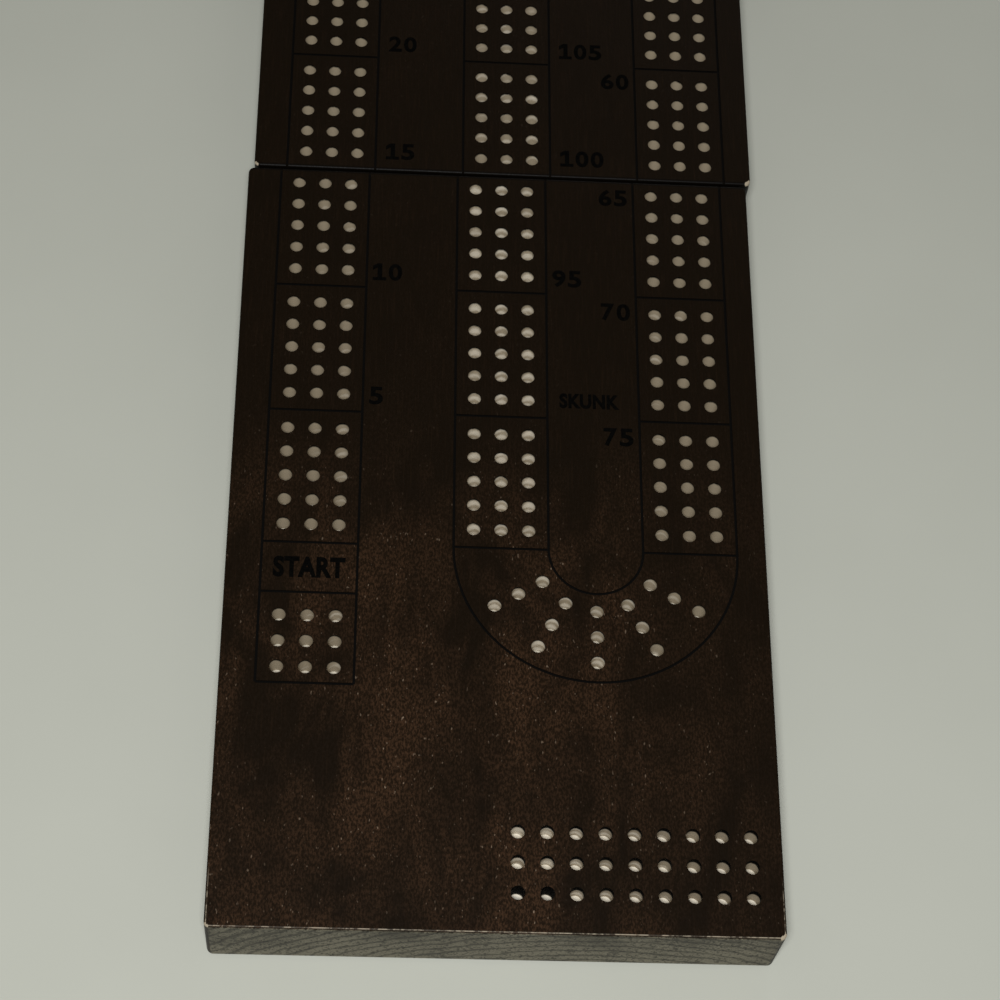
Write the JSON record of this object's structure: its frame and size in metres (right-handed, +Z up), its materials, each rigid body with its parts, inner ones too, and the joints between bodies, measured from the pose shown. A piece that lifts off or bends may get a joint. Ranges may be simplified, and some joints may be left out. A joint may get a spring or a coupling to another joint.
{
  "type": "cribbage box with drawer",
  "caption": "Folding wooden cribbage board box with hinged halves, drilled scoring tracks, card pockets underneath and a slim peg drawer at one end.",
  "frame": {"origin": "on the table, under the middle of the open box with the drawer knob counted in", "axes": "+Z up out of the playing face, +Y from the player's end along the board to the drawer, +X to the player's right"},
  "size_m": [0.1262, 0.4, 0.0203],
  "materials": {
    "stained_wood": "dark stain, worn",
    "drawer_wood": "bare planed wood",
    "hinge_brass": "tarnished",
    "knob_brass": "turned, polished",
    "magnet_nickel": "nickel plated",
    "felt": "pressed felt",
    "peg_brass": "turned",
    "peg_steel": "turned",
    "peg_black": "blackened"
  },
  "bodies": {
    "near_half": {"near_board": "stained_wood", "hinge_leaf_near_left": "hinge_brass", "hinge_leaf_near_right": "hinge_brass", "hinge_pin_left": "hinge_brass", "hinge_pin_right": "hinge_brass", "hinge_screws_near": "hinge_brass", "magnets_near": "magnet_nickel", "feet_near": "felt"},
    "far_half": {"far_board": "stained_wood", "hinge_leaf_far_left": "hinge_brass", "hinge_leaf_far_right": "hinge_brass", "hinge_screws_far": "hinge_brass", "magnets_far": "magnet_nickel", "feet_far": "felt", "bay_floor": "stained_wood", "bay_floor_screws": "hinge_brass", "drawer_stop_pin": "hinge_brass"},
    "drawer": {"drawer_front": "stained_wood", "drawer_side_left": "drawer_wood", "drawer_side_right": "drawer_wood", "drawer_back": "drawer_wood", "drawer_bottom": "drawer_wood", "drawer_knob": "knob_brass", "knob_screw": "hinge_brass", "pegs_brass": "peg_brass", "pegs_steel": "peg_steel", "pegs_black": "peg_black"}
  },
  "joints": [
    {"name": "fold", "type": "hinge", "parent": "near_half", "child": "far_half", "pos_m": [0, -0.0035, 0.0012], "axis": [1, 0, 0], "range_deg": [-179.5, 0]},
    {"name": "drawer_slide", "type": "slide", "parent": "far_half", "child": "drawer", "axis": [0, 1, 0], "range_m": [0, 0.03]}
  ]
}
